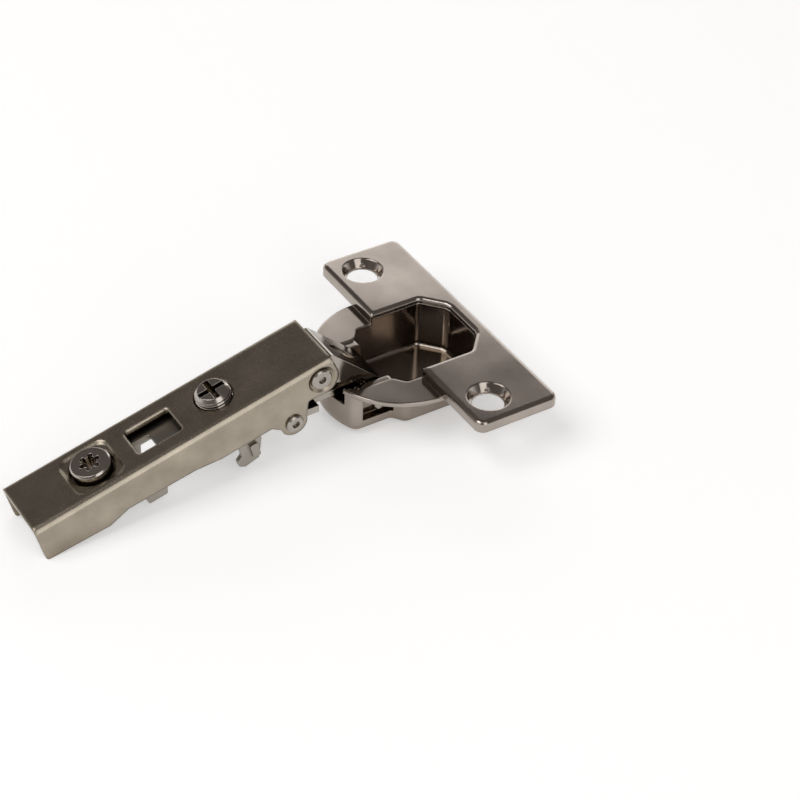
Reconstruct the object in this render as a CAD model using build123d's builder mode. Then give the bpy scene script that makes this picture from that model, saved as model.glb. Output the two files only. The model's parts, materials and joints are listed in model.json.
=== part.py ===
from build123d import *
from math import acos, atan2, cos, degrees, hypot, pi, radians, sin, sqrt
import os

# Concealed cup hinge for a furniture door, standing open.
# Millimetres. The origin is the centre of the cup on the face of the door,
# +Z points out of the door, +X to the middle of the door, and the pivots run along Y.

# ---------------------------------------------------------------- driving sizes

# cup: one deep pressing with a tray-shaped flange and two half-moon ears
cup_radius = 17.4
cup_sheet = 1.0
cup_depth = 10.6
well_half_width_front = 7.3
well_half_width_rear = 9.9
well_step_start = -6.0
well_step_end = -4.0
well_chamfer_start = 11.2
well_rear = 15.4
well_rear_half_width = 5.2
well_corner = 1.6
front_wall_radius = 17.0
floor_radius = 1.0
mouth_radius = 0.8
round_bands = 3
front_opening_half_width = 5.7
front_opening_floor = -4.0
ear_rear = 0.5

flange_front = -0.5
flange_rear = 18.4
flange_length = 61.6
flange_height = 2.42
flange_corner = 2.0
flange_edge_round = 0.9

screw_row = 6.0
screw_pitch = 48.0
screw_hole_diameter = 6.4
screw_dish_diameter = 8.8
screw_collar_wall = 0.8
screw_collar_floor = 0.3
flute_count = 6
flute_radius = 0.55

pocket_front = -14.0
pocket_rear = -5.4
pocket_floor = -8.3
pocket_top = -0.45
pocket_depth = 1.7
pocket_wall = 0.8
pocket_corner = 0.8

# linkage: two cup pins, two links and the two rivets of the arm
lower_pivot_x = -8.8
lower_pivot_z = -6.0
upper_pivot_x = -10.5
upper_pivot_z = -2.05
cup_pin_radius = 1.0
cup_pin_reach = 0.9
cup_pin_chamfer = 0.3
pivot_fit = 0.05

outer_link_length = 18.22
outer_link_angle = 138.3
outer_link_half_width = 5.2
outer_link_sheet = 0.9
outer_link_web = 4.75
outer_link_web_start = 0.95
outer_link_web_end_gap = 0.4
outer_link_cup_eye = 2.1
outer_link_arm_eye = 2.3
outer_link_strip = 0.82
outer_link_neck = 1.15
trough_depth = 0.4
trough_width = 3.4
trough_start = 6.6
trough_end = 14.6

inner_link_half_width = 3.3
inner_link_thickness = 1.6
inner_link_cup_eye = 1.8
inner_link_arm_eye_wall = 0.85
inner_link_arm_half_width = 6.0
inner_link_shoulder = 5.6

# the rear rivet runs in an oversize eye, as the closed four-bar needs
rear_eye_play = 0.97
rear_eye_shift_x = 0.90
rear_eye_shift_z = -0.27

# arm casing: folded channel, open at the bottom and at both ends
arm_tilt = 14.77
arm_length = 67.0
arm_width = 15.2
arm_sheet = 1.2
arm_bend = 1.5
arm_front_slope = 0.7
front_rivet_x = -3.88
front_rivet_z = -3.89
rear_rivet_x = -12.0
rear_rivet_z = -10.4
wall_depth_rear = 8.2
wall_depth_hump = 8.9
wall_depth_waist = 7.4
wall_depth_middle = 8.7
waist_fall = 0.35
hump_setback = 13.7
waist_setback = 18.2
waist_front = -33.9
middle_x = -28.2
wall_corner = 0.8
front_lobe_radius = 3.75
rear_lobe_radius = 2.95
dimple_radius = 3.1
dimple_depth = 0.5

front_rivet_radius = 1.5
rear_rivet_radius = 1.0
front_rivet_head = 2.25
rear_rivet_head = 1.9
rivet_head_height = 0.7
rivet_head_chamfer = 0.3
rivet_hollow_radius = 0.8
rivet_hollow_depth = 0.5

window_shift = 0.05
window_length = 9.6
window_width = 6.8
window_corner = 0.7
top_rim = 0.3
rim_slope = 45

# adjusters in the arm
side_screw_x = -23.6
side_screw_radius = 3.5
side_screw_hole_gap = 0.3
side_screw_proud = 1.8
side_screw_chamfer = 0.7
side_screw_bottom = 2.1
side_screw_neck_radius = 1.3
side_screw_button_radius = 2.5
side_screw_button_height = 0.8
cross_width = 1.2
cross_length = 5.6
cross_depth = 1.8
cross_taper = 8

cam_setback = 16.1
cam_head_radius = 4.05
cam_head_proud = 1.3
cam_hole_gap = 0.55
cam_collar_radius = 5.2
cam_collar_height = 0.6
cam_eccentric_radius = 2.6
cam_throw = 1.5
cam_stem_radius = 1.2
cam_rivet_radius = 1.9
cam_rivet_height = 0.5
cam_edge_chamfer = 0.35
cam_slot_gap = 0.09
cam_recess_core = 1.4
cam_recess_radius = 2.2
cam_recess_lobe = 0.52
cam_recess_points = 6
cam_recess_depth = 1.5
cam_dish_side = 10.6
cam_dish_depth = 0.45
cam_dish_corner = 2.2
washer_radius = 4.3
washer_height = 0.8
washer_gap = 0.25
washer_play = 0.05
tilt_gap = 0.3

# inner arm: folded channel that grips the mounting plate
inner_arm_front = -19.0
inner_arm_setback = 5.5
inner_arm_top = 2.4
inner_arm_sheet = 1.0
inner_arm_gap = 0.3
inner_arm_depth = 7.0
inner_arm_bend = 1.3
slide_travel = 1.06
hook_root_depth = 7.2
hook_slot_depth = 10.85
hook_tip_drop = 3.1
hook_front = -18.9
hook_rear = -25.1
hook_slot_rear = -23.9
hook_notch_depth = 12.6
hook_toe = -20.6
hook_corner = 0.9
hook_fillet = 0.35
hook_boss_x = -21.0
hook_boss_z = -12.5
hook_boss_length = 1.7
hook_boss_depth = 3.3
hook_boss_height = 0.6
lug_front_reach = 10.6
lug_rear_reach = 6.5
lug_depth = 10.8
inner_window_reach = 10.5
inner_window_length = 5.2
inner_window_width = 4.2

# release catch at the rear of the inner arm
catch_pin_inset = 2.7
catch_pin_z = -5.6
catch_pin_radius = 1.0
catch_side_gap = 0.4
catch_sheet = 1.0
catch_hub_radius = 1.9
catch_hook_depth = 8.6
catch_hook_reach = 2.4
catch_tab_reach = 4.4
catch_tab_z = -6.6
catch_spring_wire = 0.2
catch_spring_turns = 2
catch_spring_pitch_share = 2.3
catch_spring_foot_width = 1.2
catch_spring_foot = 4.6
catch_spring_gap = 0.12

# closing spring round the lower cup pin
spring_wire = 0.4
spring_turns = 2
spring_gap = 0.15
spring_pitch = 0.85
spring_bar_half = 0.7
wire_bend = 1.5
wire_flats = 6
spring_bar_angle = -22.0
spring_bar_gap = 0.3
spring_leg_x = -14.3
spring_floor_gap = 0.1

# ---------------------------------------------------------------- worked-out places

flange_centre_x = (flange_front + flange_rear) / 2
hook_tip_depth = hook_notch_depth + hook_tip_drop
hump_x = hump_setback - arm_length
waist_rear = waist_setback - arm_length
cam_x = cam_setback - arm_length
window_x = (cam_x + side_screw_x) / 2 + window_shift
lug_front = cam_x + lug_front_reach
lug_rear = cam_x + lug_rear_reach
inner_window_x = cam_x + inner_window_reach
inner_arm_rear = inner_arm_setback - arm_length
catch_pin_x = inner_arm_rear + catch_pin_inset
catch_tab_rear = inner_arm_rear - catch_tab_reach
flange_width = flange_rear - flange_front
cup_floor = -cup_depth + cup_sheet


def on_circle(centre_x, centre_z, radius, angle):
    """Point of the XZ plane at an angle in degrees round a centre."""
    return centre_x + radius * cos(radians(angle)), centre_z + radius * sin(radians(angle))


front_rivet_row_x, front_rivet_row_z = on_circle(
    lower_pivot_x, lower_pivot_z, outer_link_length, outer_link_angle
)


def turned(x, z):
    """Offset along the arm turned into the door's X and Z."""
    tilt = radians(arm_tilt)
    return x * cos(tilt) - z * sin(tilt), x * sin(tilt) + z * cos(tilt)


front_rivet_offset = turned(front_rivet_x, front_rivet_z)
rear_rivet_offset = turned(rear_rivet_x, rear_rivet_z)
arm_origin_x = front_rivet_row_x - front_rivet_offset[0]
arm_origin_z = front_rivet_row_z - front_rivet_offset[1]
rear_rivet_row_x = arm_origin_x + rear_rivet_offset[0]
rear_rivet_row_z = arm_origin_z + rear_rivet_offset[1]
rear_eye_x = rear_rivet_row_x + rear_eye_shift_x
rear_eye_z = rear_rivet_row_z + rear_eye_shift_z

# planes: the arm seen from its side and from its top, and the outer link from its side
arm_along = (cos(radians(arm_tilt)), 0, sin(radians(arm_tilt)))
arm_up = (-sin(radians(arm_tilt)), 0, cos(radians(arm_tilt)))
arm_side = Plane(origin=(arm_origin_x, 0, arm_origin_z), x_dir=arm_along, z_dir=(0, -1, 0))
arm_top = Plane(origin=(arm_origin_x, 0, arm_origin_z), x_dir=arm_along, z_dir=arm_up)
arm_end = Plane(origin=(arm_origin_x, 0, arm_origin_z), x_dir=(0, 1, 0), z_dir=arm_along)

link_along = (cos(radians(outer_link_angle)), 0, sin(radians(outer_link_angle)))
link_side = Plane(origin=(lower_pivot_x, 0, lower_pivot_z), x_dir=link_along, z_dir=(0, 1, 0))
link_end = Plane(origin=(lower_pivot_x, 0, lower_pivot_z), x_dir=(0, 1, 0), z_dir=link_along)
link_web_normal = Plane(
    origin=link_side.origin + link_side.y_dir * outer_link_web,
    x_dir=link_along,
    z_dir=link_side.y_dir,
)

inner_link_run_x = rear_eye_x - upper_pivot_x
inner_link_run_z = rear_eye_z - upper_pivot_z
inner_link_length = hypot(inner_link_run_x, inner_link_run_z)
inner_link_angle = degrees(atan2(inner_link_run_z, inner_link_run_x))
inner_link_along = (cos(radians(inner_link_angle)), 0, sin(radians(inner_link_angle)))
inner_link_side = Plane(
    origin=(upper_pivot_x, 0, upper_pivot_z), x_dir=inner_link_along, z_dir=(0, 1, 0)
)
inner_link_flat = Plane(
    origin=(upper_pivot_x, 0, upper_pivot_z), x_dir=inner_link_along, z_dir=inner_link_side.y_dir
)

arm_along_axis = Axis((0, 0, 0), arm_along)
arm_up_axis = Axis((0, 0, 0), arm_up)
arm_inner_half = arm_width / 2 - arm_sheet
screw_slot_reach = side_screw_neck_radius + slide_travel + inner_arm_gap
cam_turn = 45.0
cam_slot_low = cam_throw * cos(radians(cam_turn)) - cam_eccentric_radius - inner_arm_gap
cam_slot_high = cam_throw + cam_eccentric_radius + inner_arm_gap
rear_eye_hole = rear_rivet_radius + rear_eye_play
pocket_face = well_half_width_front - pocket_depth

# ---------------------------------------------------------------- cup

with BuildSketch() as well_plan:
    with BuildLine():
        FilletPolyline(
            (-cup_radius, well_half_width_front),
            (well_step_start, well_half_width_front),
            (well_step_end, well_half_width_rear),
            (well_chamfer_start, well_half_width_rear),
            (well_rear, well_rear_half_width),
            (well_rear, -well_rear_half_width),
            (well_chamfer_start, -well_half_width_rear),
            (well_step_end, -well_half_width_rear),
            (well_step_start, -well_half_width_front),
            (-cup_radius, -well_half_width_front),
            radius=well_corner,
        )
        Line((-cup_radius, -well_half_width_front), (-cup_radius, well_half_width_front))
    make_face()
    Circle(front_wall_radius - cup_sheet, mode=Mode.INTERSECT)
    fillet(well_plan.vertices().group_by(Axis.X)[0], radius=well_corner)


def round_ring(plan, margin, level, rise, spread):
    """Slab whose rim follows a quarter round in flat bands, from a plan grown by margin.

    It starts at the height level and ends at level + rise, where the plan has
    grown by spread more, or shrunk where spread is negative.
    """
    with BuildPart() as ring:
        for step in range(round_bands + 1):
            angle = radians(90.0 * step / round_bands)
            with BuildSketch(Plane.XY.offset(level + rise * sin(angle))):
                add(plan)
                offset(amount=margin + spread * (1 - cos(angle)))
        loft(ruled=True)
    return ring.part


# the inside of the well, with its rounded floor and its rounded mouth in the flange
floor_ring = round_ring(
    well_plan.sketch, 0.0, cup_floor + floor_radius, -floor_radius, -floor_radius
)
mouth_ring = round_ring(
    well_plan.sketch, 0.0, flange_height - mouth_radius, mouth_radius, mouth_radius
)
with BuildPart() as well:
    with BuildSketch(Plane.XY.offset(cup_floor + floor_radius)):
        add(well_plan.sketch)
    extrude(amount=flange_height - cup_floor - floor_radius)
    add(floor_ring)
    add(mouth_ring)

# the bottom of the cup's outside
bottom_radius = floor_radius + cup_sheet
bottom_ring = round_ring(
    well_plan.sketch, cup_sheet, bottom_radius - cup_depth, -bottom_radius, -bottom_radius
)

# the flange is a shallow tray turned upside down, with a rounded edge
with BuildSketch() as flange_plan:
    with Locations((flange_centre_x, 0)):
        RectangleRounded(flange_width, flange_length, flange_corner)
flange_ring = round_ring(
    flange_plan.sketch,
    0.0,
    flange_height - flange_edge_round,
    flange_edge_round,
    -flange_edge_round,
)
with BuildPart() as flange:
    add(flange_plan.sketch)
    extrude(amount=flange_height - flange_edge_round)
    add(flange_ring)
    with BuildSketch():
        add(flange_plan.sketch)
        offset(amount=-cup_sheet)
    extrude(amount=flange_height - cup_sheet, mode=Mode.SUBTRACT)

# dish of a screw hole: a fluted cone from the flange's top down to the hole
with BuildPart() as screw_dish:
    with Locations((0, 0, flange_height)):
        Cone(
            screw_hole_diameter / 2,
            screw_dish_diameter / 2,
            flange_height - 2 * screw_collar_floor,
            align=(Align.CENTER, Align.CENTER, Align.MAX),
        )
    with PolarLocations(screw_hole_diameter / 2, flute_count):
        with Locations((0, 0, flange_height)):
            Cylinder(
                flute_radius,
                flange_height - 3 * screw_collar_floor,
                align=(Align.CENTER, Align.CENTER, Align.MAX),
            )

with BuildPart() as hinge_cup:
    # outside of the deep well
    with BuildSketch(Plane.XY.offset(bottom_radius - cup_depth)):
        add(well_plan.sketch)
        offset(amount=cup_sheet)
    extrude(amount=cup_depth - bottom_radius + flange_height / 2)
    add(bottom_ring)
    # the well ends at the ears in front of the flange
    with BuildSketch(Plane.XY):
        with Locations((flange_front - cup_radius, 0)):
            Rectangle(2 * cup_radius, 2 * cup_radius)
    extrude(amount=flange_height, mode=Mode.SUBTRACT)
    # half-moon ears
    with BuildSketch(Plane.XY.offset(-cup_sheet)):
        Circle(cup_radius)
        with Locations((ear_rear + cup_radius, 0)):
            Rectangle(2 * cup_radius, 2 * cup_radius, mode=Mode.SUBTRACT)
        with Locations((-cup_radius, 0)):
            Rectangle(cup_radius, 2 * front_opening_half_width, mode=Mode.SUBTRACT)
    extrude(amount=cup_sheet)
    add(flange.part)
    # drawn screw collars
    with BuildSketch(Plane.XY.offset(screw_collar_floor)):
        with Locations((screw_row, screw_pitch / 2), (screw_row, -screw_pitch / 2)):
            Circle(screw_dish_diameter / 2 + screw_collar_wall / 2)
    extrude(amount=flange_height - cup_sheet / 2 - screw_collar_floor)
    # inside of the well, and the opening for the links
    add(well.part, mode=Mode.SUBTRACT)
    with BuildSketch(Plane.XY.offset(front_opening_floor)):
        with Locations((-cup_radius, 0)):
            Rectangle(cup_radius, 2 * front_opening_half_width)
    extrude(amount=cup_radius, mode=Mode.SUBTRACT)
    # pressed-in pockets that carry the two cup pins
    for side in (-1, 1):
        with BuildSketch(Plane.XZ.offset(-side * pocket_face)):
            with Locations(((pocket_front + pocket_rear) / 2, (pocket_floor + pocket_top) / 2)):
                RectangleRounded(
                    pocket_rear - pocket_front, pocket_top - pocket_floor, pocket_corner
                )
        extrude(amount=-side * (pocket_depth + cup_sheet / 2))
        with BuildSketch(Plane.XZ.offset(-side * (pocket_face + cup_sheet))):
            with Locations(
                (
                    (pocket_front + pocket_rear) / 2,
                    (pocket_floor + pocket_wall - cup_sheet) / 2,
                )
            ):
                Rectangle(
                    pocket_rear - pocket_front - 2 * pocket_wall,
                    -cup_sheet - pocket_floor - pocket_wall,
                )
        extrude(amount=-side * cup_radius, mode=Mode.SUBTRACT)
    with BuildSketch(Plane.XZ):
        with Locations((upper_pivot_x, upper_pivot_z), (lower_pivot_x, lower_pivot_z)):
            Circle(cup_pin_radius)
    extrude(amount=well_half_width_rear, both=True, mode=Mode.SUBTRACT)
    # screw holes
    with Locations((screw_row, -screw_pitch / 2, 0), (screw_row, screw_pitch / 2, 0)):
        Cylinder(screw_hole_diameter / 2, 2 * flange_height, mode=Mode.SUBTRACT)
        add(screw_dish.part, mode=Mode.SUBTRACT)
    hinge_cup.part.label = "hinge_cup"

# ---------------------------------------------------------------- cup pins

with BuildPart() as upper_cup_pin:
    with BuildSketch(Plane.XZ):
        with Locations((upper_pivot_x, upper_pivot_z)):
            Circle(cup_pin_radius)
    extrude(amount=pocket_face + cup_sheet + cup_pin_reach, both=True)
    chamfer(upper_cup_pin.edges().filter_by(GeomType.CIRCLE), length=cup_pin_chamfer)
    upper_cup_pin.part.label = "upper_cup_pin"

with BuildPart() as lower_cup_pin:
    with BuildSketch(Plane.XZ):
        with Locations((lower_pivot_x, lower_pivot_z)):
            Circle(cup_pin_radius)
    extrude(amount=pocket_face + cup_sheet + cup_pin_reach, both=True)
    chamfer(lower_cup_pin.edges().filter_by(GeomType.CIRCLE), length=cup_pin_chamfer)
    lower_cup_pin.part.label = "lower_cup_pin"

# ---------------------------------------------------------------- outer link

link_channel_length = outer_link_length + 2 * outer_link_arm_eye
strip_centre = outer_link_web - outer_link_strip
link_web_end = outer_link_length - outer_link_web_end_gap

with BuildSketch() as outer_link_profile:
    # strip below the web, with the neck to the cup eye and the cheek to the arm eye
    with BuildSketch():
        with Locations(
            (outer_link_web_start + outer_link_strip, strip_centre),
            (link_web_end - outer_link_strip, strip_centre),
        ):
            Circle(outer_link_strip)
        make_hull()
    with BuildSketch():
        with Locations((outer_link_web_start + outer_link_strip, strip_centre)):
            Circle(outer_link_strip)
        with Locations((0, outer_link_cup_eye - outer_link_neck)):
            Circle(outer_link_neck)
        make_hull()
    Circle(outer_link_cup_eye)
    with BuildSketch():
        with Locations((outer_link_length, 0)):
            Circle(outer_link_arm_eye)
        with Locations((link_web_end - outer_link_strip, strip_centre)):
            Circle(outer_link_strip)
        with Locations((outer_link_length / 2, outer_link_web / 2)):
            Circle(outer_link_neck)
        with Locations((outer_link_length * 0.4, strip_centre)):
            Circle(outer_link_strip)
        make_hull()

with BuildPart() as outer_link:
    with BuildSketch(link_end.offset(-outer_link_arm_eye)):
        with Locations((0, -outer_link_web)):
            Rectangle(
                2 * outer_link_half_width,
                outer_link_web + outer_link_arm_eye,
                align=(Align.CENTER, Align.MIN),
            )
        with Locations((0, -outer_link_web + outer_link_sheet)):
            Rectangle(
                2 * (outer_link_half_width - outer_link_sheet),
                outer_link_web + outer_link_arm_eye,
                align=(Align.CENTER, Align.MIN),
                mode=Mode.SUBTRACT,
            )
    extrude(amount=link_channel_length)
    with BuildSketch(link_side):
        add(outer_link_profile.sketch)
    extrude(amount=outer_link_half_width, both=True, mode=Mode.INTERSECT)
    with BuildSketch(link_side):
        Circle(cup_pin_radius + pivot_fit)
        with Locations((outer_link_length, 0)):
            Circle(front_rivet_radius + pivot_fit)
    extrude(amount=outer_link_half_width, both=True, mode=Mode.SUBTRACT)
    # lens-shaped trough pressed into the web
    with BuildSketch(link_web_normal):
        with BuildLine():
            ThreePointArc(
                (trough_start, 0),
                ((trough_start + trough_end) / 2, trough_width / 2),
                (trough_end, 0),
            )
            ThreePointArc(
                (trough_end, 0),
                ((trough_start + trough_end) / 2, -trough_width / 2),
                (trough_start, 0),
            )
        make_face()
    extrude(amount=-trough_depth, mode=Mode.SUBTRACT)
    outer_link.part.label = "outer_link"

# ---------------------------------------------------------------- inner link

inner_link_arm_eye = rear_eye_hole + inner_link_arm_eye_wall

with BuildPart() as inner_link:
    with BuildSketch(inner_link_side):
        Circle(inner_link_cup_eye)
        with Locations((inner_link_length, 0)):
            Circle(inner_link_arm_eye)
        with Locations((inner_link_length / 2, 0)):
            Rectangle(inner_link_length, inner_link_thickness)
    extrude(amount=inner_link_arm_half_width, both=True)
    with BuildSketch(inner_link_flat):
        with Locations((inner_link_length, 0)):
            Rectangle(2 * inner_link_shoulder, 2 * inner_link_arm_half_width)
        with Locations((inner_link_length / 2, 0)):
            Rectangle(
                inner_link_length + 2 * inner_link_cup_eye, 2 * inner_link_half_width
            )
    extrude(amount=inner_link_arm_eye, both=True, mode=Mode.INTERSECT)
    with BuildSketch(inner_link_side):
        Circle(cup_pin_radius + pivot_fit)
        with Locations((inner_link_length, 0)):
            Circle(rear_eye_hole)
    extrude(amount=inner_link_arm_half_width, both=True, mode=Mode.SUBTRACT)
    inner_link.part.label = "inner_link"

# ---------------------------------------------------------------- arm casing

casing_depth = rear_lobe_radius - rear_rivet_z

with BuildSketch() as casing_profile:
    with BuildLine():
        FilletPolyline(
            (-arm_length, 0),
            (-arm_length, -wall_depth_rear),
            (hump_x, -wall_depth_hump),
            (waist_rear, -wall_depth_waist),
            (waist_front, -wall_depth_waist - waist_fall),
            (middle_x, -wall_depth_middle),
            (rear_rivet_x - 1.6 * rear_lobe_radius, -wall_depth_middle),
            (rear_rivet_x - rear_lobe_radius, rear_rivet_z),
            (rear_rivet_x + rear_lobe_radius, rear_rivet_z),
            (rear_rivet_x + 1.4 * rear_lobe_radius, front_rivet_z - 0.85 * front_lobe_radius),
            (front_rivet_x, front_rivet_z - front_lobe_radius),
            (front_rivet_x + front_lobe_radius, front_rivet_z),
            (-arm_front_slope, 0),
            radius=wall_corner,
        )
        Line((-arm_front_slope, 0), (-arm_length, 0))
    make_face()
    with Locations((rear_rivet_x, rear_rivet_z)):
        Circle(rear_lobe_radius)
    with Locations((front_rivet_x, front_rivet_z)):
        Circle(front_lobe_radius)

with BuildPart() as arm_casing:
    with BuildSketch(arm_end.offset(-arm_length)):
        Rectangle(arm_width, casing_depth, align=(Align.CENTER, Align.MAX))
    extrude(amount=arm_length)
    fillet(
        arm_casing.faces().sort_by(arm_up_axis)[-1].edges().filter_by(arm_along_axis),
        radius=arm_bend,
    )
    with BuildSketch(arm_end.offset(-arm_length)) as channel:
        with Locations((0, -arm_sheet)):
            Rectangle(2 * arm_inner_half, casing_depth, align=(Align.CENTER, Align.MAX))
        fillet(channel.vertices().group_by(Axis.Z)[-1], radius=arm_bend - arm_sheet)
    extrude(amount=arm_length, mode=Mode.SUBTRACT)
    with BuildSketch(arm_side):
        add(casing_profile.sketch)
    extrude(amount=arm_width / 2, both=True, mode=Mode.INTERSECT)
    # dimples that bring the walls in to the outer link
    for side in (-1, 1):
        with BuildSketch(arm_side.offset(-side * arm_inner_half)):
            with Locations((front_rivet_x, front_rivet_z)):
                Circle(dimple_radius)
        extrude(amount=side * dimple_depth)
        with BuildSketch(arm_side.offset(-side * arm_width / 2)):
            with Locations((front_rivet_x, front_rivet_z)):
                Circle(dimple_radius)
        extrude(amount=side * dimple_depth, taper=rim_slope, mode=Mode.SUBTRACT)
    # rivet holes
    with BuildSketch(arm_side):
        with Locations((front_rivet_x, front_rivet_z)):
            Circle(front_rivet_radius)
        with Locations((rear_rivet_x, rear_rivet_z)):
            Circle(rear_rivet_radius)
    extrude(amount=arm_width, both=True, mode=Mode.SUBTRACT)
    # openings of the top face
    with BuildSketch(arm_top):
        with Locations((cam_x, 0)):
            RectangleRounded(cam_dish_side, cam_dish_side, cam_dish_corner)
    extrude(amount=-cam_dish_depth, taper=rim_slope, mode=Mode.SUBTRACT)
    with BuildSketch(arm_top):
        with Locations((window_x, 0)):
            RectangleRounded(
                window_length + 2 * top_rim, window_width + 2 * top_rim, window_corner + top_rim
            )
        with Locations((side_screw_x, 0)):
            Circle(side_screw_radius + side_screw_hole_gap + top_rim)
    extrude(amount=-top_rim, taper=rim_slope, mode=Mode.SUBTRACT)
    with BuildSketch(arm_top):
        with Locations((window_x, 0)):
            RectangleRounded(window_length, window_width, window_corner)
        with Locations((side_screw_x, 0)):
            Circle(side_screw_radius + side_screw_hole_gap)
        with Locations((cam_x, 0)):
            Circle(cam_head_radius + cam_hole_gap)
    extrude(amount=-2 * arm_sheet, mode=Mode.SUBTRACT)
    arm_casing.part.label = "arm_casing"

# ---------------------------------------------------------------- rivets

front_rivet_seat = arm_width / 2 - dimple_depth
rear_rivet_seat = arm_width / 2


def rivet(x, z, shank, head, seat):
    """Shouldered rivet across the arm, with hollow closed heads on both walls."""
    with BuildPart() as piece:
        with BuildSketch(arm_side):
            with Locations((x, z)):
                Circle(shank)
        extrude(amount=seat, both=True)
        for side in (-1, 1):
            with BuildSketch(arm_side.offset(side * seat)):
                with Locations((x, z)):
                    Circle(head)
            extrude(amount=side * rivet_head_height)
            chamfer(
                piece.faces().sort_by(Axis.Y)[0 if side > 0 else -1].edges(),
                length=rivet_head_chamfer,
            )
            with BuildSketch(arm_side.offset(side * (seat + rivet_head_height))):
                with Locations((x, z)):
                    Circle(rivet_hollow_radius)
            extrude(amount=-side * rivet_hollow_depth, mode=Mode.SUBTRACT)
    return piece


front_rivet = rivet(
    front_rivet_x, front_rivet_z, front_rivet_radius, front_rivet_head, front_rivet_seat
)
front_rivet.part.label = "front_rivet"
rear_rivet = rivet(
    rear_rivet_x, rear_rivet_z, rear_rivet_radius, rear_rivet_head, rear_rivet_seat
)
rear_rivet.part.label = "rear_rivet"

# ---------------------------------------------------------------- adjusters

plate_bottom = -inner_arm_top - inner_arm_sheet

with BuildPart() as side_screw:
    # threaded plug, neck through the inner arm's slot, and closing button
    with BuildSketch(arm_top.offset(side_screw_proud)):
        with Locations((side_screw_x, 0)):
            Circle(side_screw_radius)
    extrude(amount=-side_screw_proud - side_screw_bottom)
    chamfer(side_screw.faces().sort_by(arm_up_axis)[-1].edges(), length=side_screw_chamfer)
    with BuildSketch(arm_top.offset(-side_screw_bottom)):
        with Locations((side_screw_x, 0)):
            Circle(side_screw_neck_radius)
    extrude(amount=plate_bottom - inner_arm_gap + side_screw_bottom)
    with BuildSketch(arm_top.offset(plate_bottom - inner_arm_gap)):
        with Locations((side_screw_x, 0)):
            Circle(side_screw_button_radius)
    extrude(amount=-side_screw_button_height)
    with BuildSketch(arm_top.offset(side_screw_proud)):
        with Locations((side_screw_x, 0)):
            Rectangle(cross_length, cross_width)
            Rectangle(cross_width, cross_length)
    extrude(amount=-cross_depth, taper=cross_taper, mode=Mode.SUBTRACT)
    side_screw.part.label = "side_screw"

cam_head_bottom = -arm_sheet - tilt_gap
cam_eccentric_top = cam_head_bottom - cam_collar_height

cam_stem_length = washer_height + 2 * washer_play

with BuildPart() as depth_cam:
    # head, collar under the casing, eccentric disc in the inner arm, and riveted stem
    with BuildSketch(arm_top.offset(cam_head_proud)):
        with Locations((cam_x, 0)):
            Circle(cam_head_radius)
    extrude(amount=-cam_head_proud + cam_head_bottom)
    chamfer(depth_cam.faces().sort_by(arm_up_axis)[-1].edges(), length=cam_edge_chamfer)
    with BuildSketch(arm_top.offset(cam_head_bottom)):
        with Locations((cam_x, 0)):
            Circle(cam_collar_radius)
    extrude(amount=-cam_collar_height)
    with BuildSketch(arm_top.offset(cam_eccentric_top)):
        with Locations((cam_x, cam_throw)):
            Circle(cam_eccentric_radius)
    extrude(amount=plate_bottom - washer_gap - cam_eccentric_top)
    with BuildSketch(arm_top.offset(plate_bottom - washer_gap)):
        with Locations((cam_x, 0)):
            Circle(cam_stem_radius)
    extrude(amount=-cam_stem_length)
    with BuildSketch(arm_top.offset(plate_bottom - washer_gap - cam_stem_length)):
        with Locations((cam_x, 0)):
            Circle(cam_rivet_radius)
    extrude(amount=-cam_rivet_height)
    # six-lobed driver recess
    with BuildSketch(arm_top.offset(cam_head_proud)):
        with Locations((cam_x, 0)):
            Circle(cam_recess_core)
            with PolarLocations(cam_recess_radius - cam_recess_lobe, cam_recess_points):
                Circle(cam_recess_lobe)
    extrude(amount=-cam_recess_depth, mode=Mode.SUBTRACT)
    depth_cam.part.label = "depth_cam"

with BuildPart() as cam_washer:
    with BuildSketch(arm_top.offset(plate_bottom - washer_gap - washer_play)):
        with Locations((cam_x, 0)):
            Circle(washer_radius)
            Circle(cam_stem_radius + pivot_fit, mode=Mode.SUBTRACT)
    extrude(amount=-washer_height)
    cam_washer.part.label = "cam_washer"

# ---------------------------------------------------------------- inner arm

inner_arm_half = arm_inner_half - inner_arm_gap
catch_half_width = inner_arm_half - inner_arm_sheet - catch_side_gap

with BuildSketch() as inner_arm_profile:
    with BuildLine():
        FilletPolyline(
            (inner_arm_front, -inner_arm_top),
            (inner_arm_rear, -inner_arm_top),
            (inner_arm_rear, -inner_arm_depth),
            (lug_rear - hook_corner, -inner_arm_depth),
            (lug_rear, -lug_depth),
            (lug_front, -lug_depth),
            (lug_front + hook_corner, -inner_arm_depth),
            (hook_slot_rear, -hook_root_depth),
            (hook_slot_rear, -hook_notch_depth),
            (hook_rear, -hook_notch_depth - hook_corner),
            (hook_rear, -hook_tip_depth + hook_corner),
            (hook_slot_rear, -hook_tip_depth),
            (hook_toe, -hook_tip_depth + hook_corner / 2),
            (hook_front, -hook_slot_depth),
            (inner_arm_front, -hook_root_depth),
            radius=hook_fillet,
        )
        Line((inner_arm_front, -hook_root_depth), (inner_arm_front, -inner_arm_top))
    make_face()

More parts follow.
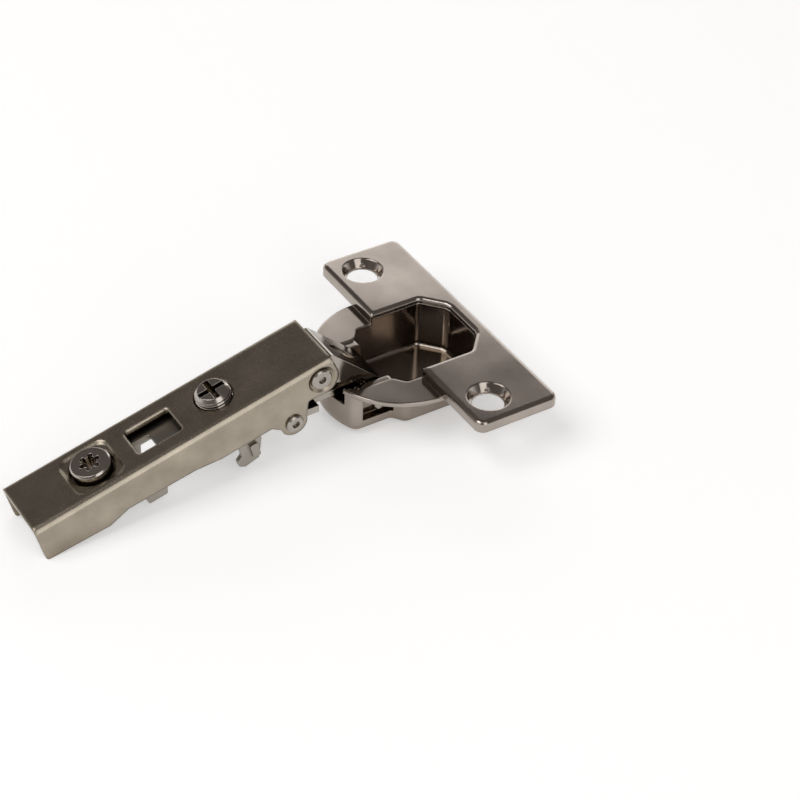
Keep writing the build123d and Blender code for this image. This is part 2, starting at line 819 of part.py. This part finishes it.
with BuildPart() as inner_arm:
    with BuildSketch(arm_end.offset(inner_arm_rear)):
        with Locations((0, -inner_arm_top)):
            Rectangle(2 * inner_arm_half, hook_tip_depth, align=(Align.CENTER, Align.MAX))
    extrude(amount=hook_front - inner_arm_rear)
    fillet(
        inner_arm.faces().sort_by(arm_up_axis)[-1].edges().filter_by(arm_along_axis),
        radius=inner_arm_bend,
    )
    with BuildSketch(arm_end.offset(inner_arm_rear)) as inner_channel:
        with Locations((0, plate_bottom)):
            Rectangle(
                2 * (inner_arm_half - inner_arm_sheet),
                hook_tip_depth,
                align=(Align.CENTER, Align.MAX),
            )
        fillet(
            inner_channel.vertices().group_by(Axis.Z)[-1],
            radius=inner_arm_bend - inner_arm_sheet,
        )
    extrude(amount=hook_front - inner_arm_rear, mode=Mode.SUBTRACT)
    with BuildSketch(arm_side):
        add(inner_arm_profile.sketch)
    extrude(amount=arm_width, both=True, mode=Mode.INTERSECT)
    # raised lugs on the front hooks
    for side in (-1, 1):
        with BuildSketch(arm_side.offset(side * inner_arm_half)):
            with Locations((hook_boss_x, hook_boss_z)):
                RectangleRounded(hook_boss_length, hook_boss_depth, hook_fillet)
        extrude(amount=side * hook_boss_height)
    # slots of the top plate
    with BuildSketch(arm_top):
        with Locations((inner_window_x, 0)):
            RectangleRounded(inner_window_length, inner_window_width, window_corner)
        with Locations(((side_screw_x - screw_slot_reach + hook_front) / 2, 0)):
            Rectangle(
                hook_front - side_screw_x + screw_slot_reach,
                2 * (side_screw_neck_radius + inner_arm_gap),
            )
        with Locations((cam_x, (cam_slot_low + cam_slot_high) / 2)):
            Rectangle(
                2 * (cam_eccentric_radius + cam_slot_gap),
                cam_slot_high - cam_slot_low,
            )
    extrude(amount=-inner_arm_top - 2 * inner_arm_sheet, mode=Mode.SUBTRACT)
    with BuildSketch(arm_side):
        with Locations((catch_pin_x, catch_pin_z)):
            Circle(catch_pin_radius)
    extrude(amount=arm_width, both=True, mode=Mode.SUBTRACT)
    inner_arm.part.label = "inner_arm"

# ---------------------------------------------------------------- release catch

with BuildPart() as catch_pin:
    with BuildSketch(arm_side):
        with Locations((catch_pin_x, catch_pin_z)):
            Circle(catch_pin_radius)
    extrude(amount=inner_arm_half, both=True)
    catch_pin.part.label = "catch_pin"

catch_tab_top = catch_tab_z + catch_sheet / 2
catch_tab_front = catch_pin_x - 2 * catch_hub_radius

with BuildPart() as release_catch:
    with BuildSketch(arm_side):
        with Locations((catch_pin_x, catch_pin_z)):
            Circle(catch_hub_radius)
        with BuildLine():
            FilletPolyline(
                (catch_pin_x, catch_pin_z + catch_hub_radius),
                (catch_tab_front, catch_tab_top + catch_hub_radius / 2),
                (catch_tab_rear, catch_tab_top),
                (catch_tab_rear, catch_tab_top - catch_sheet),
                (catch_tab_front, catch_tab_top - catch_sheet),
                (catch_pin_x - catch_hub_radius, -catch_hook_depth),
                (catch_pin_x + catch_hook_reach, -catch_hook_depth),
                (catch_pin_x + catch_hook_reach, -catch_hook_depth + catch_sheet),
                (catch_pin_x, -catch_hook_depth + 1.5 * catch_sheet),
                (catch_pin_x + catch_hub_radius, catch_pin_z),
                radius=catch_sheet / 3,
            )
            Line(
                (catch_pin_x + catch_hub_radius, catch_pin_z),
                (catch_pin_x, catch_pin_z + catch_hub_radius),
            )
        make_face()
        with Locations((catch_pin_x, catch_pin_z)):
            Circle(catch_pin_radius + pivot_fit, mode=Mode.SUBTRACT)
    extrude(amount=catch_half_width, both=True)
    # between the two walls only the tab at the rear remains
    with BuildSketch(arm_side):
        with Locations((catch_tab_front, catch_tab_top - catch_sheet)):
            Rectangle(arm_length, arm_length, align=(Align.MIN, Align.CENTER))
        with Locations((catch_tab_front, catch_tab_top)):
            Rectangle(arm_length, arm_length, align=(Align.MAX, Align.MIN))
    extrude(amount=catch_half_width - catch_sheet, both=True, mode=Mode.SUBTRACT)
    release_catch.part.label = "release_catch"

# ---------------------------------------------------------------- springs


def torsion_spring(plane, radius, wire, turns, pitch, first_leg, last_leg, foot):
    """Coil round the plane's Z axis, with tangent legs and a foot bent along that axis."""
    with BuildPart() as spring:
        with BuildLine() as path:
            coil = Helix(pitch=pitch, height=turns * pitch, radius=radius)
            leg_end = coil @ 0 - (coil % 0) * first_leg
            FilletPolyline(leg_end - Vector(0, 0, foot), leg_end, coil @ 0, radius=wire_bend * wire)
            Line(coil @ 1, coil @ 1 + (coil % 1) * last_leg)
        route = path.wire()
        with BuildSketch(Plane(origin=route @ 0, z_dir=route % 0)):
            RegularPolygon(wire, wire_flats)
        sweep(path=route)
    return plane.location * spring.part


def tangent_run(run, rise, radius):
    """Length of the straight line from a point to where it touches a circle."""
    return sqrt(run**2 + rise**2 - radius**2)


def tangent_angle(run, rise, radius, side):
    """Angle on a circle of the point where a line from outside touches it."""
    return degrees(atan2(rise, run)) + side * degrees(acos(radius / sqrt(run**2 + rise**2)))


# closing spring: its bar lies on the inner link's eye, and its legs on the cup's floor
spring_radius = cup_pin_radius + spring_gap + spring_wire
spring_bar_reach = inner_link_cup_eye + spring_bar_gap + spring_wire
spring_bar = on_circle(upper_pivot_x, upper_pivot_z, spring_bar_reach, spring_bar_angle)
spring_bar_run = spring_bar[0] - lower_pivot_x
spring_bar_rise = spring_bar[1] - lower_pivot_z
spring_foot_run = spring_leg_x - lower_pivot_x
spring_foot_rise = cup_floor + spring_floor_gap + spring_wire - lower_pivot_z
spring_start_angle = tangent_angle(spring_bar_run, spring_bar_rise, spring_radius, -1)
spring_end_angle = tangent_angle(spring_foot_run, spring_foot_rise, spring_radius, 1)
spring_turn_count = spring_turns + (spring_start_angle - spring_end_angle) / 360
spring_climb = atan2(spring_pitch, 2 * pi * spring_radius)
spring_bar_leg = tangent_run(spring_bar_run, spring_bar_rise, spring_radius) / cos(spring_climb)
spring_foot_leg = tangent_run(spring_foot_run, spring_foot_rise, spring_radius) / cos(spring_climb)
spring_coil_start = spring_bar_half + spring_bar_leg * sin(spring_climb)

closing_spring_half = torsion_spring(
    Plane(
        origin=(lower_pivot_x, spring_coil_start, lower_pivot_z),
        x_dir=(cos(radians(spring_start_angle)), 0, sin(radians(spring_start_angle))),
        z_dir=(0, 1, 0),
    ),
    spring_radius,
    spring_wire,
    spring_turn_count,
    spring_pitch,
    spring_bar_leg,
    spring_foot_leg,
    spring_bar_half,
)

with BuildPart() as closing_spring:
    add(closing_spring_half)
    mirror(about=Plane.XZ)
    closing_spring.part.label = "closing_spring"

# catch spring: one leg stands under the inner arm's top, the other presses on the tab
catch_coil_radius = catch_pin_radius + catch_spring_gap + catch_spring_wire
catch_spring_pitch = catch_spring_pitch_share * catch_spring_wire
catch_stand = plate_bottom - catch_spring_wire - catch_pin_z
catch_foot_rise = catch_tab_top + catch_spring_wire + catch_spring_gap - catch_pin_z
catch_start_angle = tangent_angle(-catch_spring_foot, catch_foot_rise, catch_coil_radius, 1)
catch_turn_count = catch_spring_turns - catch_start_angle / 360
catch_coil_height = catch_turn_count * catch_spring_pitch
catch_start_x = arm_along_axis.direction * cos(radians(catch_start_angle))
catch_start_z = arm_up_axis.direction * sin(radians(catch_start_angle))
catch_pin_place = (
    arm_side.origin
    + arm_side.x_dir * catch_pin_x
    + arm_side.y_dir * catch_pin_z
    + Vector(0, catch_coil_height / 2, 0)
)

catch_spring_wound = torsion_spring(
    Plane(origin=catch_pin_place, x_dir=catch_start_x + catch_start_z, z_dir=(0, -1, 0)),
    catch_coil_radius,
    catch_spring_wire,
    catch_turn_count,
    catch_spring_pitch,
    tangent_run(-catch_spring_foot, catch_foot_rise, catch_coil_radius),
    catch_stand,
    -catch_spring_foot_width,
)

with BuildPart() as catch_spring:
    add(catch_spring_wound)
    catch_spring.part.label = "catch_spring"

# ---------------------------------------------------------------- write the files

os.makedirs("parts", exist_ok=True)
export_step(hinge_cup.part, "parts/hinge_cup.step")
export_step(upper_cup_pin.part, "parts/upper_cup_pin.step")
export_step(lower_cup_pin.part, "parts/lower_cup_pin.step")
export_step(closing_spring.part, "parts/closing_spring.step")
export_step(outer_link.part, "parts/outer_link.step")
export_step(inner_link.part, "parts/inner_link.step")
export_step(arm_casing.part, "parts/arm_casing.step")
export_step(front_rivet.part, "parts/front_rivet.step")
export_step(rear_rivet.part, "parts/rear_rivet.step")
export_step(side_screw.part, "parts/side_screw.step")
export_step(depth_cam.part, "parts/depth_cam.step")
export_step(cam_washer.part, "parts/cam_washer.step")
export_step(inner_arm.part, "parts/inner_arm.step")
export_step(release_catch.part, "parts/release_catch.step")
export_step(catch_pin.part, "parts/catch_pin.step")
export_step(catch_spring.part, "parts/catch_spring.step")
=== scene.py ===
"""Concealed cup hinge: plated-steel materials, the side screw's thread, floor, studio light and camera."""

import json
from math import atan2, cos, pi, radians, sin

import bmesh
import bpy
from mathutils import Euler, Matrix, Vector


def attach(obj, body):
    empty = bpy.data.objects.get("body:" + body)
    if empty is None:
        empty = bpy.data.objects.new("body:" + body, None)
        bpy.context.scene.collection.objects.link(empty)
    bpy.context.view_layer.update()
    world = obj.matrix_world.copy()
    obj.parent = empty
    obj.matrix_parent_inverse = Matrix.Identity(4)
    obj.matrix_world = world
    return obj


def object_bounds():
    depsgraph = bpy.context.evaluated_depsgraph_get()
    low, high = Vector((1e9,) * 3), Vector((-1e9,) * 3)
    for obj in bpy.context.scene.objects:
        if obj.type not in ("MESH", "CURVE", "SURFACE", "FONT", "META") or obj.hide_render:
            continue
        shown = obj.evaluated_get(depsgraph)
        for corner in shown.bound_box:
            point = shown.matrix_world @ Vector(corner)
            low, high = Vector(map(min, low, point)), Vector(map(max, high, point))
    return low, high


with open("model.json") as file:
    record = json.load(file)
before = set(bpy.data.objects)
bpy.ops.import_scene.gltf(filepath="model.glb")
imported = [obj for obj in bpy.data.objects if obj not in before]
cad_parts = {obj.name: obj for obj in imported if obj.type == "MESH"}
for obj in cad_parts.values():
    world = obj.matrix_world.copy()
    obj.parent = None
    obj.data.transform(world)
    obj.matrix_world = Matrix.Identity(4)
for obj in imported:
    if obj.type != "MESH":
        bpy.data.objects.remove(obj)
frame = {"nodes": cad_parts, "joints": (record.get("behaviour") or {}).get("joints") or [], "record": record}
cad_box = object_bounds()

# ---------------------------------------------------------------- driving values, in metres

camera_place = (-0.1970, -0.2968, 0.2778)
camera_turn = (50.713, -2.158, -31.953)
camera_lens = 99.94
camera_sensor = 36.0

floor_reach = 40.0
floor_segments = 2
floor_colour = (0.86, 0.86, 0.86)
floor_fill = 0.40
floor_fill_far = 1.0
floor_near = 0.35
floor_far = 1.5
rest_span = 0.02

horizon_colour = (1.0, 1.0, 1.0)
zenith_colour = (0.155, 0.139, 0.132)
horizon_height = 0.16
zenith_height = 0.34
world_strength = 1.0

# lamps, with their power in watts
key_lamp = {"place": (-0.88, 0.10, 1.16), "width": 1.0, "height": 0.9, "power": 9.0}
front_lamp = {"place": (-0.02, -1.18, 0.85), "width": 0.8, "height": 1.5, "power": 6.0}
backdrop_lamp = {"place": (0.62, 0.93, 0.45), "width": 1.1, "height": 0.68, "power": 2.8}

side_screw_radius = 0.0035
thread_pitch = 0.0008
thread_height = 0.00022
thread_top_gap = 0.0008
thread_length = 0.0024
thread_steps = 32
thread_fade_turns = 0.5
pitch_to_half_ridge = 2.4

wire_join_gap = 1e-6
wire_rounding_levels = 2

cloud_scale = 160.0
cloud_detail = 4.0
speckle_detail = 3.0
speckle_strength = 0.5
satin_spread = 0.25
wave_scale = 70.0
wave_detail = 0.0
crisp_edge = 0.00018
edge_samples = 8
# painted shade: how near another surface must be and how shut in a point must be to darken the base colour,
# and the brown it darkens towards
default_painted_shade_reach = 0.009
painted_shade_start = 0.75
painted_shade_full = 0.20
painted_shade_colour = (0.42, 0.36, 0.27)
painted_shade_samples = 8

# ---------------------------------------------------------------- materials


def plated_steel(
    name,
    colour,
    shade,
    roughness,
    grain,
    grain_depth,
    wave_depth=0.0,
    edge=crisp_edge,
    painted_shade_reach=default_painted_shade_reach,
):
    """Nickel-plated steel: clouded colour, fine grain, softened edges, and painted shade that darkens and
    browns its colour in crevices.

    colour and shade are the light and dark ends of its clouding, roughness its satin
    level, grain the number of grains to the metre, and grain_depth their height.
    wave_depth is the height of the slow waves that pressing leaves in the sheet, edge
    the radius to which edges look rounded, and painted_shade_reach how near another surface must be for the
    painted shade to darken the colour.
    """
    material = bpy.data.materials.new(name)
    material.use_nodes = True
    nodes = material.node_tree.nodes
    links = material.node_tree.links
    shader = nodes["Principled BSDF"]
    shader.inputs["Metallic"].default_value = 1.0

    place = nodes.new("ShaderNodeTexCoord")

    cloud = nodes.new("ShaderNodeTexNoise")
    cloud.inputs["Scale"].default_value = cloud_scale
    cloud.inputs["Detail"].default_value = cloud_detail
    links.new(place.outputs["Object"], cloud.inputs["Vector"])

    tint = nodes.new("ShaderNodeMix")
    tint.data_type = "RGBA"
    tint.inputs["A"].default_value = (*shade, 1.0)
    tint.inputs["B"].default_value = (*colour, 1.0)
    links.new(cloud.outputs["Fac"], tint.inputs["Factor"])

    # Painted shade: ambient occlusion darkens and browns the base colour in crevices, inside the cup's well
    # and near other parts, where shade falls.
    shade_occlusion = nodes.new("ShaderNodeAmbientOcclusion")
    shade_occlusion.samples = painted_shade_samples
    shade_occlusion.inputs["Distance"].default_value = painted_shade_reach
    depth = nodes.new("ShaderNodeMapRange")
    depth.inputs["From Min"].default_value = painted_shade_start
    depth.inputs["From Max"].default_value = painted_shade_full
    links.new(shade_occlusion.outputs["AO"], depth.inputs["Value"])
    painted_shade = nodes.new("ShaderNodeMix")
    painted_shade.data_type = "RGBA"
    painted_shade.blend_type = "MULTIPLY"
    painted_shade.inputs["B"].default_value = (*painted_shade_colour, 1.0)
    links.new(depth.outputs["Result"], painted_shade.inputs["Factor"])
    links.new(tint.outputs["Result"], painted_shade.inputs["A"])
    links.new(painted_shade.outputs["Result"], shader.inputs["Base Color"])

    speckle = nodes.new("ShaderNodeTexNoise")
    speckle.inputs["Scale"].default_value = grain
    speckle.inputs["Detail"].default_value = speckle_detail
    links.new(place.outputs["Object"], speckle.inputs["Vector"])

    satin = nodes.new("ShaderNodeMapRange")
    satin.inputs["To Min"].default_value = roughness * (1 - satin_spread)
    satin.inputs["To Max"].default_value = roughness * (1 + satin_spread)
    links.new(speckle.outputs["Fac"], satin.inputs["Value"])
    links.new(satin.outputs["Result"], shader.inputs["Roughness"])

    soften = nodes.new("ShaderNodeBevel")
    soften.inputs["Radius"].default_value = edge
    soften.samples = edge_samples
    waves = nodes.new("ShaderNodeTexNoise")
    waves.inputs["Scale"].default_value = wave_scale
    waves.inputs["Detail"].default_value = wave_detail
    links.new(place.outputs["Object"], waves.inputs["Vector"])
    pressing = nodes.new("ShaderNodeBump")
    pressing.inputs["Distance"].default_value = wave_depth
    links.new(waves.outputs["Fac"], pressing.inputs["Height"])
    links.new(soften.outputs["Normal"], pressing.inputs["Normal"])
    texture = nodes.new("ShaderNodeBump")
    texture.inputs["Strength"].default_value = speckle_strength
    texture.inputs["Distance"].default_value = grain_depth
    links.new(speckle.outputs["Fac"], texture.inputs["Height"])
    links.new(pressing.outputs["Normal"], texture.inputs["Normal"])
    links.new(texture.outputs["Normal"], shader.inputs["Normal"])
    return material


platings = {
    "cup_nickel": {
        "colour": (0.46, 0.405, 0.36),
        "shade": (0.29, 0.255, 0.225),
        "roughness": 0.14,
        "grain": 2500,
        "grain_depth": 2e-6,
        "wave_depth": 1.6e-4,
        "edge": 0.0005,
        # the cup's painted shade reaches further, so that it darkens the cup's well
        "painted_shade_reach": 0.013,
    },
    "arm_nickel": {
        "colour": (0.48, 0.42, 0.34),
        "shade": (0.21, 0.185, 0.145),
        "roughness": 0.25,
        "grain": 3600,
        "grain_depth": 4e-6,
        "wave_depth": 1.0e-4,
        "edge": 0.0009,
    },
    "link_nickel": {
        "colour": (0.45, 0.41, 0.37),
        "shade": (0.34, 0.31, 0.27),
        "roughness": 0.14,
        "grain": 2600,
        "grain_depth": 1.5e-6,
    },
    "inner_nickel": {
        "colour": (0.38, 0.35, 0.31),
        "shade": (0.29, 0.27, 0.24),
        "roughness": 0.32,
        "grain": 3200,
        "grain_depth": 7e-6,
    },
    "screw_steel": {
        "colour": (0.46, 0.42, 0.38),
        "shade": (0.34, 0.31, 0.28),
        "roughness": 0.20,
        "grain": 3000,
        "grain_depth": 3e-6,
    },
    "rivet_steel": {
        "colour": (0.42, 0.39, 0.35),
        "shade": (0.33, 0.30, 0.27),
        "roughness": 0.26,
        "grain": 3000,
        "grain_depth": 5e-6,
    },
    "pin_steel": {
        "colour": (0.50, 0.47, 0.43),
        "shade": (0.41, 0.38, 0.35),
        "roughness": 0.22,
        "grain": 2600,
        "grain_depth": 4e-6,
    },
    "spring_steel": {
        "colour": (0.30, 0.29, 0.27),
        "shade": (0.22, 0.21, 0.20),
        "roughness": 0.30,
        "grain": 2600,
        "grain_depth": 4e-6,
    },
}
finishes = {name: plated_steel(name, **plating) for name, plating in platings.items()}

for subpart in frame["record"]["subparts"]:
    piece = frame["nodes"][subpart["node"]]
    piece.data.materials.clear()
    piece.data.materials.append(finishes[subpart["material_slot"]])

# The springs' six-sided wire is drawn round.
for name in ("closing_spring", "catch_spring"):
    wire = frame["nodes"][name]
    wire.modifiers.new("join", "WELD").merge_threshold = wire_join_gap
    rounding = wire.modifiers.new("round", "SUBSURF")
    rounding.levels = wire_rounding_levels
    rounding.render_levels = wire_rounding_levels

# ---------------------------------------------------------------- side screw's thread


def screw_thread(node, joint, radius):
    """Helical ridge round a screw that turns about a joint's axis, below the edge of its head."""
    axis = Vector(joint["axis"]).normalized()
    anchor = Vector(joint["pos_m"])
    across = axis.orthogonal().normalized()
    beside = axis.cross(across)
    top = max((node.matrix_world @ vertex.co - anchor).dot(axis) for vertex in node.data.vertices)
    foot = radius - thread_height / 2
    half_ridge = axis * thread_pitch / pitch_to_half_ridge
    steps = round(thread_steps * thread_length / thread_pitch)

    ridge = bmesh.new()
    rings = []
    for step in range(steps + 1):
        turns = step / thread_steps
        turns_left = (steps - step) / thread_steps
        # the ridge rises out of the shank at its start and sinks back at its end
        fade = min(1.0, turns / thread_fade_turns, turns_left / thread_fade_turns)
        outward = across * cos(2 * pi * turns) + beside * sin(2 * pi * turns)
        middle = anchor + axis * (top - thread_top_gap - thread_pitch * turns)
        rings.append([
            ridge.verts.new(middle + outward * foot + half_ridge),
            ridge.verts.new(middle + outward * (radius + thread_height * fade)),
            ridge.verts.new(middle + outward * foot - half_ridge),
        ])
    for first, second in zip(rings, rings[1:]):
        for side in range(len(first)):
            after = (side + 1) % len(first)
            ridge.faces.new((first[side], first[after], second[after], second[side]))
    ridge.faces.new(rings[0])
    ridge.faces.new(reversed(rings[-1]))
    bmesh.ops.recalc_face_normals(ridge, faces=ridge.faces)

    mesh = bpy.data.meshes.new("side_screw_thread")
    ridge.to_mesh(mesh)
    ridge.free()
    mesh.materials.append(finishes["screw_steel"])
    thread = bpy.data.objects.new("side_screw_thread", mesh)
    bpy.context.scene.collection.objects.link(thread)
    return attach(thread, "side_screw")


joints = {joint["name"]: joint for joint in frame["joints"]}
screw_thread(frame["nodes"]["side_screw"], joints["side_screw_turn"], side_screw_radius)

# ---------------------------------------------------------------- floor


def floor_material():
    """Pale floor that reads as white, and still shows the hinge's shadow.

    It glows a little where it is seen, directly or mirrored, and more with distance,
    so that it stays white where the lamps no longer reach.
    """
    material = bpy.data.materials.new("floor")
    material.use_nodes = True
    nodes = material.node_tree.nodes
    links = material.node_tree.links
    nodes.remove(nodes["Principled BSDF"])
    matt = nodes.new("ShaderNodeBsdfDiffuse")
    matt.inputs["Color"].default_value = (*floor_colour, 1.0)

    ray = nodes.new("ShaderNodeLightPath")
    mirrored = nodes.new("ShaderNodeMath")
    mirrored.operation = "MAXIMUM"
    links.new(ray.outputs["Is Camera Ray"], mirrored.inputs[0])
    links.new(ray.outputs["Is Glossy Ray"], mirrored.inputs[1])
    seen = nodes.new("ShaderNodeMath")
    seen.operation = "MAXIMUM"
    links.new(mirrored.outputs["Value"], seen.inputs[0])
    links.new(ray.outputs["Is Transmission Ray"], seen.inputs[1])

    place = nodes.new("ShaderNodeTexCoord")
    distance = nodes.new("ShaderNodeVectorMath")
    distance.operation = "LENGTH"
    links.new(place.outputs["Object"], distance.inputs[0])
    spread = nodes.new("ShaderNodeMapRange")
    spread.inputs["From Min"].default_value = floor_near
    spread.inputs["From Max"].default_value = floor_far
    spread.inputs["To Min"].default_value = floor_fill
    spread.inputs["To Max"].default_value = floor_fill_far
    links.new(distance.outputs["Value"], spread.inputs["Value"])

    fill = nodes.new("ShaderNodeMath")
    fill.operation = "MULTIPLY"
    links.new(seen.outputs["Value"], fill.inputs[0])
    links.new(spread.outputs["Result"], fill.inputs[1])
    glow = nodes.new("ShaderNodeEmission")
    links.new(fill.outputs["Value"], glow.inputs["Strength"])
    both = nodes.new("ShaderNodeAddShader")
    links.new(matt.outputs["BSDF"], both.inputs[0])
    links.new(glow.outputs["Emission"], both.inputs[1])
    links.new(both.outputs["Shader"], nodes["Material Output"].inputs["Surface"])
    return material


# The hinge rests on its lowest point and on the first point that a floor turned about it meets.
corners = [
    node.matrix_world @ vertex.co
    for node in frame["nodes"].values()
    for vertex in node.data.vertices
]
rear_rest = min(corners, key=lambda corner: corner.z)
floor_slope = min(
    atan2(corner.z - rear_rest.z, corner.x - rear_rest.x)
    for corner in corners
    if corner.x > rear_rest.x + rest_span
)

floor_mesh = bmesh.new()
bmesh.ops.create_grid(floor_mesh, x_segments=floor_segments, y_segments=floor_segments, size=floor_reach)
floor_data = bpy.data.meshes.new("floor")
floor_mesh.to_mesh(floor_data)
floor_mesh.free()
floor = bpy.data.objects.new("floor", floor_data)
floor.location = (rear_rest.x, 0.0, rear_rest.z)
floor.rotation_euler = Euler((0.0, -floor_slope, 0.0))
floor.data.materials.append(floor_material())
bpy.context.scene.collection.objects.link(floor)

# ---------------------------------------------------------------- light

# The dome is white at the horizon and dark overhead.
world = bpy.data.worlds.new("studio")
world.use_nodes = True
world_nodes = world.node_tree.nodes
world_links = world.node_tree.links
direction = world_nodes.new("ShaderNodeTexCoord")
split = world_nodes.new("ShaderNodeSeparateXYZ")
world_links.new(direction.outputs["Generated"], split.inputs["Vector"])
rise = world_nodes.new("ShaderNodeMapRange")
rise.interpolation_type = "SMOOTHSTEP"
rise.inputs["From Min"].default_value = horizon_height
rise.inputs["From Max"].default_value = zenith_height
world_links.new(split.outputs["Z"], rise.inputs["Value"])
dome = world_nodes.new("ShaderNodeMix")
dome.data_type = "RGBA"
dome.inputs["A"].default_value = (*horizon_colour, 1.0)
dome.inputs["B"].default_value = (*zenith_colour, 1.0)
world_links.new(rise.outputs["Result"], dome.inputs["Factor"])
sky = world_nodes["Background"]
sky.inputs["Strength"].default_value = world_strength
world_links.new(dome.outputs["Result"], sky.inputs["Color"])
bpy.context.scene.world = world


def soft_box(name, aim, place, width, height, power):
    """Rectangular lamp at a place, turned to the point it lights."""
    data = bpy.data.lights.new(name, "AREA")
    data.shape = "RECTANGLE"
    data.size = width
    data.size_y = height
    data.energy = power
    lamp = bpy.data.objects.new(name, data)
    lamp.location = place
    lamp.rotation_euler = (Vector(aim) - Vector(place)).to_track_quat("-Z", "Y").to_euler()
    bpy.context.scene.collection.objects.link(lamp)


hinge_middle = (cad_box[0] + cad_box[1]) / 2
soft_box("key", hinge_middle, **key_lamp)
soft_box("front", hinge_middle, **front_lamp)
soft_box("backdrop", hinge_middle, **backdrop_lamp)

# ---------------------------------------------------------------- camera

camera_data = bpy.data.cameras.new("camera")
camera_data.lens = camera_lens
camera_data.sensor_width = camera_sensor
camera = bpy.data.objects.new("camera", camera_data)
camera.location = camera_place
camera.rotation_euler = Euler([radians(turn) for turn in camera_turn])
bpy.context.scene.collection.objects.link(camera)
bpy.context.scene.camera = camera
bpy.context.scene.view_settings.view_transform = "Standard"
